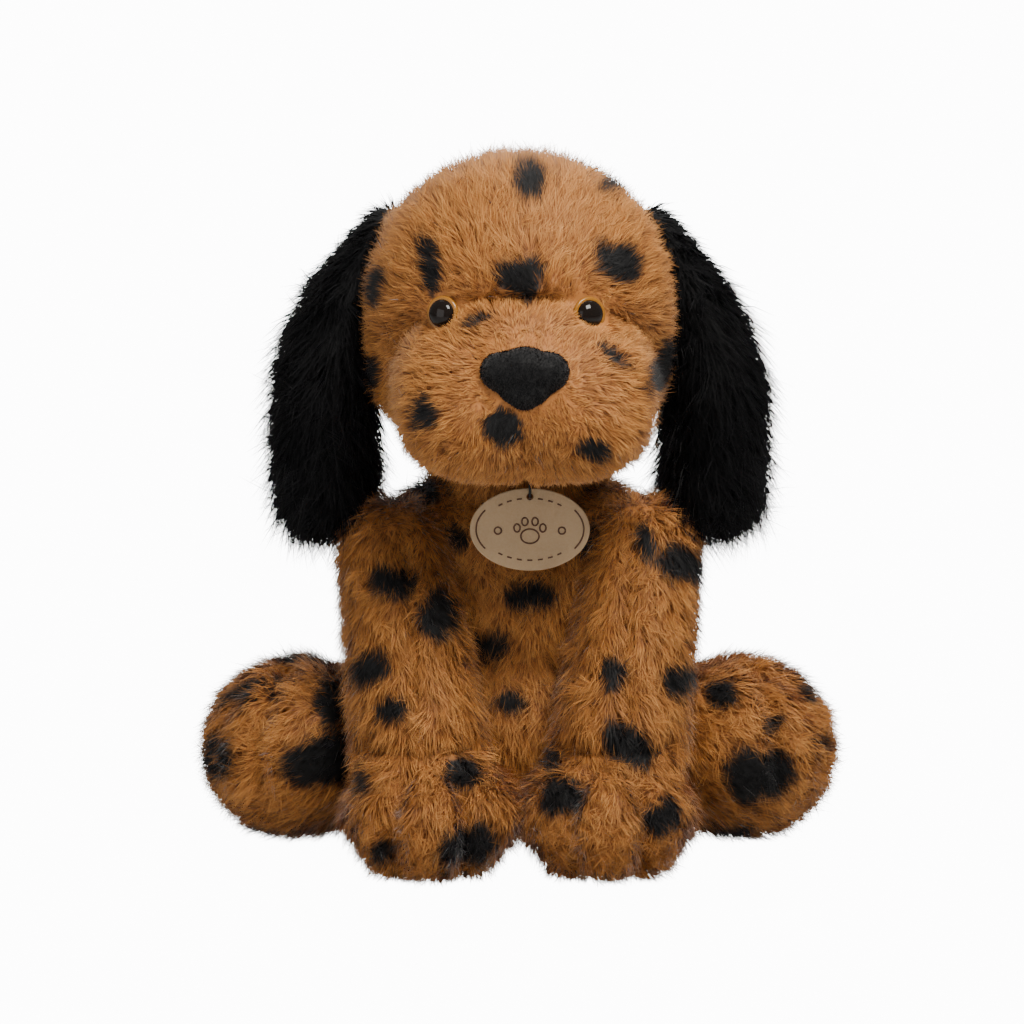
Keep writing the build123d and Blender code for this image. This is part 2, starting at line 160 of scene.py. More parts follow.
class ColourSettings(bpy.types.PropertyGroup):
    """Colours of the cloths and trims."""

    tan_root: FloatVectorProperty(name="Tan root", description="Tan pile at the backing",
                                  subtype="COLOR", size=3, default=(0.105, 0.030, 0.006))
    tan_body: FloatVectorProperty(name="Tan", description="Tan pile along its length",
                                  subtype="COLOR", size=3, default=(0.43, 0.158, 0.030))
    tan_tip: FloatVectorProperty(name="Tan tip", description="Tan pile at its tip",
                                 subtype="COLOR", size=3, default=(0.70, 0.35, 0.105))
    spot: FloatVectorProperty(name="Spot", description="Black of the spots and the ears",
                              subtype="COLOR", size=3, default=(0.0035, 0.0035, 0.004))
    amber: FloatVectorProperty(name="Amber", description="Iris", subtype="COLOR", size=3,
                               default=(0.42, 0.17, 0.022))
    leather: FloatVectorProperty(name="Tag", description="Tag's leather", subtype="COLOR", size=3,
                                 default=(0.52, 0.36, 0.205))


class StageSettings(bpy.types.PropertyGroup):
    """Camera and light."""

    distance: FloatProperty(name="Distance", description="Camera's distance", default=3.0,
                            min=0.3, unit="LENGTH")
    elevation: FloatProperty(name="Elevation", description="Camera's height angle",
                             default=math.radians(13), subtype="ANGLE")
    frame_height: FloatProperty(name="Frame", description="Height of the view at the toy",
                                default=0.389, min=0.1, unit="LENGTH")
    ambient: FloatProperty(name="Ambient", description="Strength of the studio's even light",
                           default=0.24, min=0.0)
    seed: IntProperty(name="Seed", description="Seed of every random draw", default=7, min=0)


# ---------------------------------------------------------------- materials


def new_group(name, inputs, outputs):
    group = bpy.data.node_groups.new(name, "ShaderNodeTree")
    for label, kind, value in inputs:
        socket = group.interface.new_socket(name=label, in_out="INPUT", socket_type=kind)
        socket.default_value = value
    for label, kind in outputs:
        group.interface.new_socket(name=label, in_out="OUTPUT", socket_type=kind)
    return group, group.nodes.new("NodeGroupInput"), group.nodes.new("NodeGroupOutput")


def node(tree, kind, **values):
    made = tree.nodes.new(kind)
    for key, value in values.items():
        if key.startswith("in_"):
            made.inputs[int(key[3:])].default_value = value
        else:
            setattr(made, key, value)
    return made


def mix_colour(tree, factor, first, second, blend="MIX"):
    made = node(tree, "ShaderNodeMix", data_type="RGBA", blend_type=blend)
    for socket, value in ((made.inputs[0], factor), (made.inputs[6], first), (made.inputs[7], second)):
        if isinstance(value, bpy.types.NodeSocket):
            tree.links.new(value, socket)
        else:
            socket.default_value = value
    return made.outputs[2]


def attribute(tree, name):
    return node(tree, "ShaderNodeAttribute", attribute_name=name).outputs["Fac"]


def pile_group():
    """Colour of pile: root to tip, tuft to tuft, with the spots laid over it."""
    if "Pile Colour" in bpy.data.node_groups:
        return bpy.data.node_groups["Pile Colour"]
    group, source, sink = new_group(
        "Pile Colour",
        (("Along", "NodeSocketFloat", 0.5), ("Tone", "NodeSocketFloat", 0.5),
         ("Spotted", "NodeSocketFloat", 0.0), ("Root", "NodeSocketColor", (0.2, 0.1, 0.05, 1)),
         ("Body", "NodeSocketColor", (0.5, 0.3, 0.1, 1)), ("Tip", "NodeSocketColor", (0.7, 0.4, 0.2, 1)),
         ("Spot", "NodeSocketColor", (0.01, 0.01, 0.01, 1))),
        (("Color", "NodeSocketColor"),),
    )
    along, tone, spot = (source.outputs[label] for label in ("Along", "Tone", "Spotted"))
    low = node(group, "ShaderNodeMapRange", in_1=0.0, in_2=0.55)
    high = node(group, "ShaderNodeMapRange", in_1=0.45, in_2=1.0)
    group.links.new(along, low.inputs[0])
    group.links.new(along, high.inputs[0])
    shaft = mix_colour(group, low.outputs[0], source.outputs["Root"], source.outputs["Body"])
    tipped = node(group, "ShaderNodeMath", operation="MULTIPLY")
    group.links.new(high.outputs[0], tipped.inputs[0])
    group.links.new(tone, tipped.inputs[1])
    whole = mix_colour(group, tipped.outputs[0], shaft, source.outputs["Tip"])
    shade = node(group, "ShaderNodeMapRange", in_1=0.0, in_2=1.0, in_3=0.72, in_4=1.12)
    group.links.new(tone, shade.inputs[0])
    varied = node(group, "ShaderNodeVectorMath", operation="SCALE")
    group.links.new(whole, varied.inputs[0])
    group.links.new(shade.outputs[0], varied.inputs["Scale"])
    group.links.new(mix_colour(group, spot, varied.outputs[0], source.outputs["Spot"]), sink.inputs[0])
    return group


def grain_group():
    """Fine mottling and height of cloth, leather or moulded plastic."""
    if "Fine Grain" in bpy.data.node_groups:
        return bpy.data.node_groups["Fine Grain"]
    group, source, sink = new_group(
        "Fine Grain",
        (("Color", "NodeSocketColor", (0.5, 0.5, 0.5, 1)), ("Dark", "NodeSocketColor", (0.3, 0.3, 0.3, 1)),
         ("Scale", "NodeSocketFloat", 800.0), ("Strength", "NodeSocketFloat", 0.4)),
        (("Color", "NodeSocketColor"), ("Height", "NodeSocketFloat"), ("Roughness", "NodeSocketFloat")),
    )
    place = node(group, "ShaderNodeTexCoord")
    fine = node(group, "ShaderNodeTexNoise", in_3=3.0)
    broad = node(group, "ShaderNodeTexNoise", in_2=60.0, in_3=2.0)
    for texture in (fine, broad):
        group.links.new(place.outputs["Object"], texture.inputs["Vector"])
    group.links.new(source.outputs["Scale"], fine.inputs["Scale"])
    both = node(group, "ShaderNodeMath", operation="MULTIPLY")
    group.links.new(fine.outputs[0], both.inputs[0])
    group.links.new(broad.outputs[0], both.inputs[1])
    factor = node(group, "ShaderNodeMath", operation="MULTIPLY", use_clamp=True)
    group.links.new(both.outputs[0], factor.inputs[0])
    group.links.new(source.outputs["Strength"], factor.inputs[1])
    group.links.new(mix_colour(group, factor.outputs[0], source.outputs["Color"], source.outputs["Dark"]),
                    sink.inputs["Color"])
    group.links.new(fine.outputs[0], sink.inputs["Height"])
    rough = node(group, "ShaderNodeMapRange", in_1=0.3, in_2=0.7, in_3=0.55, in_4=0.8)
    group.links.new(fine.outputs[0], rough.inputs[0])
    group.links.new(rough.outputs[0], sink.inputs["Roughness"])
    return group


def new_material(name, **sockets):
    material = bpy.data.materials.new(name)
    material.use_nodes = True
    shader = material.node_tree.nodes["Principled BSDF"]
    for key, value in sockets.items():
        shader.inputs[key.replace("_", " ").title().replace("Ior", "IOR")].default_value = value
    return material, material.node_tree, shader


def pile_material(name, root, body, tip, spot, sheen=0.2, gloss=0.25):
    material, tree, shader = new_material(name, roughness=0.62, specular_ior_level=gloss)
    shader.inputs["Sheen Weight"].default_value = sheen
    shader.inputs["Sheen Roughness"].default_value = 0.45
    blend = node(tree, "ShaderNodeGroup", node_tree=pile_group())
    for label, value in (("Root", root), ("Body", body), ("Tip", tip), ("Spot", spot)):
        blend.inputs[label].default_value = (*value, 1)
    for label, layer in (("Along", "along"), ("Tone", "tone"), ("Spotted", "spot")):
        tree.links.new(attribute(tree, layer), blend.inputs[label])
    tree.links.new(blend.outputs[0], shader.inputs["Base Color"])
    return material


def grained_material(name, colour, dark, scale=800.0, strength=0.5, bump=0.3, depth=0.0003,
                     spotted=False, **sockets):
    material, tree, shader = new_material(name, **sockets)
    grain = node(tree, "ShaderNodeGroup", node_tree=grain_group())
    grain.inputs["Color"].default_value = (*colour, 1)
    grain.inputs["Dark"].default_value = (*dark, 1)
    grain.inputs["Scale"].default_value = scale
    grain.inputs["Strength"].default_value = strength
    base = grain.outputs["Color"]
    if spotted:
        base = mix_colour(tree, attribute(tree, "spot"), base, (*tuple(colours().spot), 1))
    tree.links.new(base, shader.inputs["Base Color"])
    tree.links.new(grain.outputs["Roughness"], shader.inputs["Roughness"])
    height = node(tree, "ShaderNodeBump", in_0=bump, in_1=depth)
    tree.links.new(grain.outputs["Height"], height.inputs["Height"])
    tree.links.new(height.outputs[0], shader.inputs["Normal"])
    return material


def material(finish):
    """A finish by its plain name, made once."""
    name = f"dog {finish}"
    if name in bpy.data.materials:
        return bpy.data.materials[name]
    tone = colours()
    black = tuple(tone.spot)
    grey = tuple(2.2 * value for value in black)
    makers = {
        "tan_pile": lambda: pile_material(name, tone.tan_root, tone.tan_body, tone.tan_tip, black),
        "black_pile": lambda: pile_material(name, black, black, grey, black, 0.02, 0.10),
        "tan_cloth": lambda: grained_material(name, tone.tan_body, tone.tan_root, spotted=True),
        "black_cloth": lambda: grained_material(name, black, (0.003, 0.003, 0.003)),
        "velvet": lambda: grained_material(name, black, (0.004, 0.004, 0.004), sheen_weight=0.3,
                                           specular_ior_level=0.2),
        "filling": lambda: grained_material(name, (0.82, 0.81, 0.78), (0.6, 0.6, 0.58), 300.0),
        "bag_cloth": lambda: grained_material(name, (0.7, 0.66, 0.56), (0.5, 0.46, 0.38), 1500.0),
        "pellets": lambda: grained_material(name, (0.78, 0.78, 0.76), (0.6, 0.6, 0.6), 400.0),
        "eye_amber": lambda: amber_material(name, tone.amber),
        "eye_black": lambda: glossy_material(name, (0.006, 0.004, 0.003)),
        "washer_white": lambda: grained_material(name, (0.8, 0.8, 0.78), (0.7, 0.7, 0.68), bump=0.1),
        "tag_leather": lambda: grained_material(name, tone.leather, (0.38, 0.24, 0.125), 1300.0, 0.9,
                                                0.35, 0.0002),
        "tag_ink": lambda: grained_material(name, (0.10, 0.045, 0.018), (0.06, 0.025, 0.01), 900.0),
        "tag_felt": lambda: grained_material(name, (0.42, 0.28, 0.16), (0.3, 0.19, 0.1), 900.0),
        "thread_black": lambda: grained_material(name, (0.012, 0.012, 0.012), (0.02, 0.02, 0.02), 2500.0),
        "thread_brown": lambda: grained_material(name, (0.10, 0.04, 0.012), (0.06, 0.02, 0.01), 2500.0),
    }
    return makers[finish]()


def glossy_material(name, colour):
    made, tree, shader = new_material(name, roughness=0.05, specular_ior_level=0.22,
                                      coat_weight=0.12, coat_roughness=0.02)
    depth = node(tree, "ShaderNodeTexNoise", in_2=90.0)
    shade = mix_colour(tree, depth.outputs[0], (*colour, 1), (*(2 * c for c in colour), 1))
    tree.links.new(shade, shader.inputs["Base Color"])
    return made


def amber_material(name, colour):
    """Amber plastic with fine fibres."""
    made, tree, shader = new_material(name, roughness=0.22, specular_ior_level=0.3,
                                      coat_weight=0.2, coat_roughness=0.1)
    fibres = node(tree, "ShaderNodeTexNoise", in_2=1400.0, in_3=4.0)
    shade = mix_colour(tree, fibres.outputs[0], (*colour, 1), (*(0.45 * c for c in colour), 1))
    tree.links.new(shade, shader.inputs["Base Color"])
    return made


def colours():
    return bpy.context.scene.dog_colours


def pile():
    return bpy.context.scene.dog_pile


# ---------------------------------------------------------------- sewn forms


def lump(centre, radii, turn=(0, 0, 0)):
    """One ball of filling: a stretched sphere in millimetres, turned by Euler degrees."""
    radii = (radii,) * 3 if isinstance(radii, (int, float)) else radii
    place = Matrix.Translation(Vector(centre))
    turned = Matrix.Identity(4)
    for axis, angle in zip("XYZ", turn):
        turned = Matrix.Rotation(math.radians(angle), 4, axis) @ turned
    return Matrix.Scale(MM, 4) @ place @ turned @ Matrix.Diagonal((*radii, 1))


def roll(start, end, start_radius, end_radius, count=9):
    """Balls in a row, tapering from one end to the other."""
    start, end, last = Vector(start), Vector(end), count - 1
    return [
        lump(start.lerp(end, step / last), start_radius + (end_radius - start_radius) * step / last)
        for step in range(count)
    ]


def link(made):
    bpy.context.scene.collection.objects.link(made)
    return made


def shade_smooth(mesh):
    mesh.polygons.foreach_set("use_smooth", [True] * len(mesh.polygons))


def object_from(shape, name):
    """An object from a bmesh, which is freed."""
    mesh = bpy.data.meshes.new(name)
    shape.to_mesh(mesh)
    shape.free()
    return link(bpy.data.objects.new(name, mesh))


def evaluated_mesh(made):
    graph = bpy.context.evaluated_depsgraph_get()
    return bpy.data.meshes.new_from_object(made.evaluated_get(graph))


def apply_modifiers(made):
    mesh = evaluated_mesh(made)
    made.modifiers.clear()
    old, made.data = made.data, mesh
    bpy.data.meshes.remove(old)
    mesh.name = made.name


def sewn_form(name, lumps, voxel=3.6, smooth=9, finer=1, swell=0.0):
    """One closed skin round a heap of lumps, eased, plumped and smoothed."""
    shape = bmesh.new()
    for matrix in lumps:
        bmesh.ops.create_uvsphere(shape, u_segments=32, v_segments=20, radius=1, matrix=matrix)
    made = object_from(shape, name)
    remesh = made.modifiers.new("weld", "REMESH")
    remesh.mode, remesh.voxel_size = "VOXEL", voxel * MM
    ease = made.modifiers.new("ease", "SMOOTH")
    ease.factor, ease.iterations = 0.5, smooth
    apply_modifiers(made)
    if swell:
        plump(made, swell)
    if finer:
        made.modifiers.new("finer", "SUBSURF").levels = finer
        apply_modifiers(made)
    shade_smooth(made.data)
    return made


def plump(made, cap):
    """Cloth under pressure from the filling, moved by no more than cap millimetres."""
    scene = bpy.context.scene
    rest = points_of(made.data)
    cloth = made.modifiers.new("cloth", "CLOTH")
    cloth.settings.use_pressure = True
    cloth.settings.uniform_pressure_force = PRESSURE
    cloth.settings.quality = CLOTH_QUALITY
    cloth.settings.effector_weights.gravity = 0.0
    cloth.settings.tension_stiffness = cloth.settings.compression_stiffness = CLOTH_STRETCH
    cloth.settings.bending_stiffness = CLOTH_BENDING
    cloth.point_cache.frame_start, cloth.point_cache.frame_end = 1, CLOTH_FRAMES
    for number in range(1, CLOTH_FRAMES + 1):
        scene.frame_set(number)
    apply_modifiers(made)
    scene.frame_set(1)
    moved = points_of(made.data) - rest
    reach = np.linalg.norm(moved, axis=1, keepdims=True)
    moved *= np.minimum(1.0, cap / np.maximum(reach, 1e-9))
    set_points(made.data, rest + moved)


def points_of(mesh):
    """A mesh's points in millimetres."""
    flat = np.empty(3 * len(mesh.vertices), np.float32)
    mesh.vertices.foreach_get("co", flat)
    return flat.reshape(-1, 3).astype(float) / MM


def normals_of(mesh):
    flat = np.empty(3 * len(mesh.vertices), np.float32)
    mesh.vertices.foreach_get("normal", flat)
    return flat.reshape(-1, 3).astype(float)


def set_points(mesh, points):
    mesh.vertices.foreach_set("co", (points * MM).astype(np.float32).ravel())
    mesh.update()


def unit(vectors):
    return vectors / np.maximum(np.linalg.norm(vectors, axis=-1, keepdims=True), 1e-9)


def bell(away, width):
    """1 at no distance, falling softly to 0 past about twice the width."""
    return np.exp(-(away / width) ** 2)


def look_height(points):
    """How high points look from the front."""
    return points[:, 1] * LOOK_UP[0] + points[:, 2] * LOOK_UP[1]


def crease(points, normals, centre, heading, depth, width, low, high):
    """Pulls a skin in along the upright half plane at a heading about a centre."""
    angle = math.radians(heading)
    out = np.array((math.sin(angle), -math.cos(angle), 0.0))
    side = np.array((math.cos(angle), math.sin(angle), 0.0))
    away = points - np.array(centre, float)
    near = bell(away @ side, width) * (away @ out > 0)
    rise = points[:, 2]
    span = np.clip((rise - low) / 4, 0, 1) * np.clip((high - rise) / 6, 0, 1)
    return points - normals * (depth * near * span)[:, None]


def rest_on_floor(points, floor=0.6):
    points[:, 2] = np.maximum(points[:, 2], floor)
    return points


# ---------------------------------------------------------------- spots and pile


def ripple(points, wavelength, seed):
    """A smooth random field between about -1 and 1 at each point."""
    rng = np.random.default_rng(seed)
    total = np.zeros(len(points))
    for _ in range(WAVES):
        direction = unit(rng.normal(size=3)) * rng.uniform(*WAVE_RANGE) * 2 * math.pi / wavelength
        total += np.sin(points @ direction + rng.uniform(0, 2 * math.pi))
    return total / WAVE_SCALE


def ripple3(points, wavelength, seed):
    """A ripple in each of the three directions."""
    return np.stack([ripple(points, wavelength, seed + 101 * axis) for axis in range(3)], axis=1)


def hidden_spots(points, normals, seed, spacing=27.0):
    """Centres and sizes of the spots on the sides that the front view doesn't show."""
    rng = np.random.default_rng(seed)
    chosen = []
    behind = points[normals[:, 1] > BACK_FACING]
    for index in rng.permutation(len(behind)):
        centre = behind[index]
        if all(np.linalg.norm(centre - other) > spacing for other, _ in chosen):
            chosen.append((centre, rng.uniform(*HIDDEN_RADII)))
        if len(chosen) == MOST_HIDDEN:
            break
    return chosen


def spot_mask(body, points, normals, hidden):
    """1 inside a spot, 0 outside, with an irregular soft edge."""
    edge = sum(share * ripple(points, wavelength, seed) for share, wavelength, seed in SPOT_EDGES)
    nearest = np.full(len(points), NO_SPOT)
    front = normals[:, 1] < FRONT_FACING
    height = look_height(points)
    for across, up, half_width, half_height, tilt in FRONT_SPOTS[body]:
        cosine, sine = math.cos(math.radians(tilt)), math.sin(math.radians(tilt))
        right, rise = points[:, 0] - across, height - up
        along = (right * cosine + rise * sine) / half_width
        over = (-right * sine + rise * cosine) / half_height
        nearest = np.minimum(nearest, np.where(front, np.hypot(along, over), NO_SPOT))
    for centre, radius in hidden:
        away = (points - centre) / np.array(HIDDEN_STRETCH)
        nearest = np.minimum(nearest, np.linalg.norm(away, axis=1) / radius)
    return np.clip((SPOT_REACH + edge - nearest) / SPOT_SOFTNESS, 0, 1)


def store(mesh, name, values):
    layer = mesh.attributes.new(name, "FLOAT", "POINT")
    layer.data.foreach_set("value", values.astype(np.float32))


def paint_skin(skin, body, seed):
    """Marks the spots on a skin and returns them for its pile."""
    points, normals = points_of(skin.data), normals_of(skin.data)
    hidden = hidden_spots(points, normals, seed)
    store(skin.data, "spot", spot_mask(body, points, normals, hidden))
    return hidden


def scatter(mesh, count, rng):
    """Random points and their normals, spread evenly over a mesh's area."""
    mesh.calc_loop_triangles()
    corners = np.empty(3 * len(mesh.loop_triangles), np.int32)
    mesh.loop_triangles.foreach_get("vertices", corners)
    corners = corners.reshape(-1, 3)
    points, normals = points_of(mesh), normals_of(mesh)
    first, second, third = (points[corners[:, column]] for column in range(3))
    area = 0.5 * np.linalg.norm(np.cross(second - first, third - first), axis=1)
    chosen = corners[rng.choice(len(corners), size=count, p=area / area.sum())]
    u, v = rng.random(count), rng.random(count)
    flip = u + v > 1
    u[flip], v[flip] = 1 - u[flip], 1 - v[flip]
    weights = np.stack((1 - u - v, u, v), axis=1)[:, :, None]
    return (points[chosen] * weights).sum(1), unit((normals[chosen] * weights).sum(1))


def area_of(mesh):
    return sum(face.area for face in mesh.polygons) / MM**2


def grow_pile(name, skin, finish, length, flow, seed, spots=None, keep=None, width=None,
              lay=1.75, ragged=0.32, density=1.0, tone=None, trim=None):
    """Pile on a skin: tapered tufts that lean with the flow and clump a little."""
    rng = np.random.default_rng(seed)
    amount = int(area_of(skin.data) * pile().density * density)
    roots, normals = scatter(skin.data, amount, rng)
    if keep is not None:
        chosen = keep(roots, normals)
        roots, normals = roots[chosen], normals[chosen]
    amount = len(roots)
    along = flow(roots, normals)
    for pull, wavelength, step in CLUMPS:
        along = along + pull * ripple3(roots, wavelength, seed + step)
    along = unit(along - normals * (along * normals).sum(1, keepdims=True))
    stray = rng.normal(size=(amount, 3))
    lift = 1.0 + LIFT_SPREAD * rng.normal(size=(amount, 1))
    lean = unit(normals * lift + along * lay + STRAY * stray)
    bend = unit(lean + along * BEND_ALONG + BEND_SPREAD * rng.normal(size=(amount, 3)) + np.array(DROOP))
    uneven = rng.normal(size=amount).clip(-RAGGED_CAP, RAGGED_CAP)
    size = length / MM * (1 + ragged * uneven * RAGGED_SCALE)
    if trim is not None:
        size = size * trim(roots)
    size = size[:, None]
    half = 0.5 * (width or pile().strand_width) / MM * rng.uniform(*WIDTH_RANGE, size=(amount, 1))
    across = unit(np.cross(lean, normals + TURN_SPREAD * rng.normal(size=(amount, 3))))
    sunk = roots - normals * ROOT_DEPTH
    knee = sunk + lean * size * KNEE
    tip = knee + bend * size * (1 - KNEE)
    knee_half = across * half * KNEE_WIDTH
    corners = np.stack((sunk - across * half, sunk + across * half, knee - knee_half, knee + knee_half,
                        tip), axis=1)
    corners[:, :, 2] = np.maximum(corners[:, :, 2], LOWEST_PILE)
    mesh = tuft_mesh(name, corners)
    patches = TONE_PATCHES * ripple(roots, TONE_WAVELENGTH, seed + 3)
    shades = np.clip(rng.beta(*TONE_SHAPE, size=amount) + patches, 0, 1)
    if tone is not None:
        shades = np.clip(shades + tone(roots), 0, TONE_MOST)
    store(mesh, "tone", np.repeat(shades, 5))
    marks = np.zeros(5 * amount)
    if spots is not None:
        body, hidden = spots
        places = (corners + SPOT_FRAY * stray[:, None, :]).reshape(-1, 3)
        marks = spot_mask(body, places, np.repeat(normals, 5, axis=0), hidden)
    store(mesh, "spot", marks)
    lay_out_strands(mesh, amount)
    soft = unit(normals + TUFT_ROUNDING * np.cross(across, lean))
    shade_smooth(mesh)
    mesh.normals_split_custom_set_from_vertices(np.repeat(soft, 5, axis=0).tolist())
    mesh.materials.append(material(finish))
    return link(bpy.data.objects.new(name, mesh))


def tuft_mesh(name, corners):
    """A mesh of tufts with five corners each: a four-sided foot and a three-sided tip."""
    amount = len(corners)
    number = np.arange(amount)[:, None]
    loops = 5 * number + np.array((0, 1, 3, 2, 2, 3, 4))
    starts = 7 * number + (0, 4)
    mesh = bpy.data.meshes.new(name)
    mesh.vertices.add(5 * amount)
    mesh.vertices.foreach_set("co", (corners * MM).astype(np.float32).ravel())
    mesh.loops.add(7 * amount)
    mesh.loops.foreach_set("vertex_index", loops.ravel().astype(np.int32))
    mesh.polygons.add(2 * amount)
    mesh.polygons.foreach_set("loop_start", starts.ravel().astype(np.int32))
    mesh.update(calc_edges=True)
    store(mesh, "along", np.tile((0.0, 0.0, 0.5, 0.5, 1.0), amount))
    return mesh


def lay_out_strands(mesh, amount):
    """Flat layout for baking: every tuft has its own cell."""
    layer = mesh.uv_layers.new(name="OFBake")
    side = math.ceil(math.sqrt(max(amount, 1)))
    cell = np.stack((np.arange(amount) % side, np.arange(amount) // side), axis=1)[:, None, :]
    foot = ((0.2, 0.15), (0.8, 0.15), (0.7, 0.5), (0.3, 0.5))
    inside = np.array((*foot, (0.3, 0.5), (0.7, 0.5), (0.5, 0.9)))
    layer.data.foreach_set("uv", ((cell + inside) / side).astype(np.float32).ravel())


def finish_piece(made, body, finish=None, nodes=()):
    """Puts a piece on its body, gives it its finish and hides the frame's parts that it stands for."""
    if finish:
        made.data.materials.clear()
        made.data.materials.append(material(finish))
    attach(made, body)
    if nodes:
        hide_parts(*nodes)
    return made


def fill_form(name, skin, body, nodes, inset=3.0):
    """The filling inside a skin: the same form drawn in."""
    made = link(bpy.data.objects.new(name, skin.data.copy()))
    made.data.materials.clear()
    points = points_of(made.data)
    lumpy = ripple(points, 14, 31)[:, None]
    set_points(made.data, points - normals_of(made.data) * (inset + 0.5 * lumpy))
    if "spot" in made.data.attributes:
        made.data.attributes.remove(made.data.attributes["spot"])
    return finish_piece(made, body, "filling", nodes)


def bench_seed():
    return bpy.context.scene.dog_stage.seed


def dress(skin, body, covers, stuffings, fill, seeds, flow, inset=3.0, share=1.0, **looks):
    """Spots, filling and tan pile for a sewn skin; the seeds are of its spots and its pile."""
    hidden = paint_skin(skin, body, bench_seed() + seeds[0])
    finish_piece(skin, body, "tan_cloth", covers)
    fill_form(f"{body}_filling", skin, body, stuffings, inset)
    fur = grow_pile(f"{body}_pile", skin, "tan_pile", share * pile().body_length, flow,
                    bench_seed() + seeds[1], (body, hidden), **looks)
    finish_piece(fur, body)


def above_floor(points, normals):
    """Keeps pile off the sole."""
    return points[:, 2] > 1.2


# ---------------------------------------------------------------- flows of the pile


def head_flow(points, normals):
    """From the nose outward over the muzzle, then back over the skull."""
    away = points - np.array(NOSE, float)
    return unit(away) + np.array((0, 0.25, -0.10))


def down_flow(points, normals):
    return np.tile(np.array((0.0, -0.12, -1.0)), (len(points), 1))


def leg_flow(points, normals):
    """Down the leg, then forward over the paw."""
    low = np.clip((48 - points[:, 2:3]) / 30, 0, 1)
    out = unit(points - np.array((0, -30, 30)))
    return np.array((0.0, -0.15, -1.0)) * (1 - low) + (np.array((0, -1.0, -0.35)) + 0.4 * out) * low


def hind_flow(points, normals):
    side = np.sign(points[:, :1])
    return np.concatenate((side * 0.8, np.full_like(side, -0.55), np.full_like(side, -0.35)), axis=1)


def ear_flow(points, normals):
    side = np.sign(points[:, :1])
    out = (points[:, 1:2] - 6) / 26
    return np.concatenate((side * 0.35, out * 0.55, np.full_like(side, -1.0)), axis=1)


def tail_flow(points, normals):
    return np.tile(np.array((0.0, 1.0, 0.3)), (len(points), 1))


# ---------------------------------------------------------------- operators


class DOG_OT_torso(bpy.types.Operator):
    """Sew and stuff the torso and the neck"""

    bl_idname = "dog.torso"
    bl_label = "Torso"

    def execute(self, context):
        lumps = [
            lump((0, 13, 40), (53.5, 52, 45)), lump((0, 14, 92), (46, 43, 52)),
            lump((0, 8, 122), (38, 34, 18)),
        ]
        lumps += [lump((side * 30, 0, 112), (20, 22, 24)) for side in SIDES.values()]
        skin = sewn_form("torso_skin", lumps, swell=2.0)
        points, normals = points_of(skin.data), normals_of(skin.data)
        points = crease(points, normals, (0, 12, 0), 0, 1.6, 2.4, 20, 120)
        points = crease(points, normals, (0, 12, 0), 180, 1.8, 2.4, 14, 132)
        set_points(skin.data, rest_on_floor(points))
        dress(skin, "torso", ("belly_panel", "back_left_panel", "back_right_panel"),
              ("torso_stuffing",), 0.7, (11, 12), down_flow,
              keep=lambda p, n: above_floor(p, n) & (np.hypot(p[:, 0], p[:, 1] - NECK[1]) > 14))
        neck = sewn_form("neck_skin", [lump(NECK, 33)], swell=0)
        dress(neck, "neck", ("neck_cover",), ("neck_stuffing",), 0.7, (13, 14), down_flow, share=0.9,
              keep=lambda p, n: (p[:, 2] > 122) & (p[:, 2] < 170))
        return {"FINISHED"}


def eye_distances(points):
    """How far points are from each eye's seat, in millimetres."""
    return [np.linalg.norm(points - eye_place(name)[0], axis=1) for name in EYES]


def clear_of_face(points, normals):
    """Leaves the eyes and the nose's seat bare."""
    bare = np.ones(len(points), bool)
    for distance in eye_distances(points):
        bare &= distance > 7.4
    nose_seat, nose_size = np.array(NOSE, float) + np.array((0, -3, 1)), (13.5, 14, 10)
    away = np.linalg.norm((points - nose_seat) / nose_size, axis=1)
    return bare & (away > 1)


def short_at_face(points):
    """The pile's length as a share: short round the eyes, nose, muzzle's rim and chin."""
    eye_fade, nose_fade, rim_trim, chin_trim = 17, 34, 0.4, 0.6
    trim = np.ones(len(points))
    for distance in eye_distances(points):
        trim = np.minimum(trim, np.clip(distance / eye_fade, 0.34, 1))
    nose_distance = np.linalg.norm(points - np.array(NOSE, float), axis=1)
    trim = np.minimum(trim, np.clip(nose_distance / nose_fade, 0.45, 1))
    trim *= 1 - rim_trim * muzzle_share(points)[1]
    chin = (points[:, 2] < 160) & (points[:, 1] < -20)
    crown = np.clip(0.8 + (points[:, 2] - 215) / 110, 0.8, 1.2)
    return np.where(chin, chin_trim * trim, trim) * crown


def muzzle_share(points):
    """How far a point is on the muzzle as it shows from the front, and how near its upper rim."""
    half_width, half_height, middle, squareness = 48, 33, 163, 2.6
    height = look_height(points)
    across, over = np.abs(points[:, 0] - MUZZLE[0]) / half_width, np.abs(height - middle) / half_height
    reach = (across**squareness + over**squareness) ** (1 / squareness)
    ahead = np.clip((-20 - points[:, 1]) / 12, 0, 1)
    upper = np.clip((height - 148) / 12, 0, 1)
    share = np.clip((1.06 - reach) / 0.2, 0, 1) ** 0.8
    return share * ahead, bell(reach - 1.10, 0.07) * ahead * upper


def muzzle_tone(points):
    """Paler pile on the muzzle and beside the nose."""
    return 0.42 * bell(np.linalg.norm((points - np.array(MUZZLE)) / (42, 30, 26), axis=1), 1)


def eye_place(name):
    """An eye's seat on the head ball and the way it looks."""
    across, up = EYES[name] / HEAD_RADIUS, EYE_RISE / HEAD_RADIUS
    normal = np.array((across, -math.sqrt(1 - across**2 - up**2), up))
    return np.array(HEAD, float) + normal * HEAD_RADIUS + np.array((0, 0, EYE_DROP)), normal


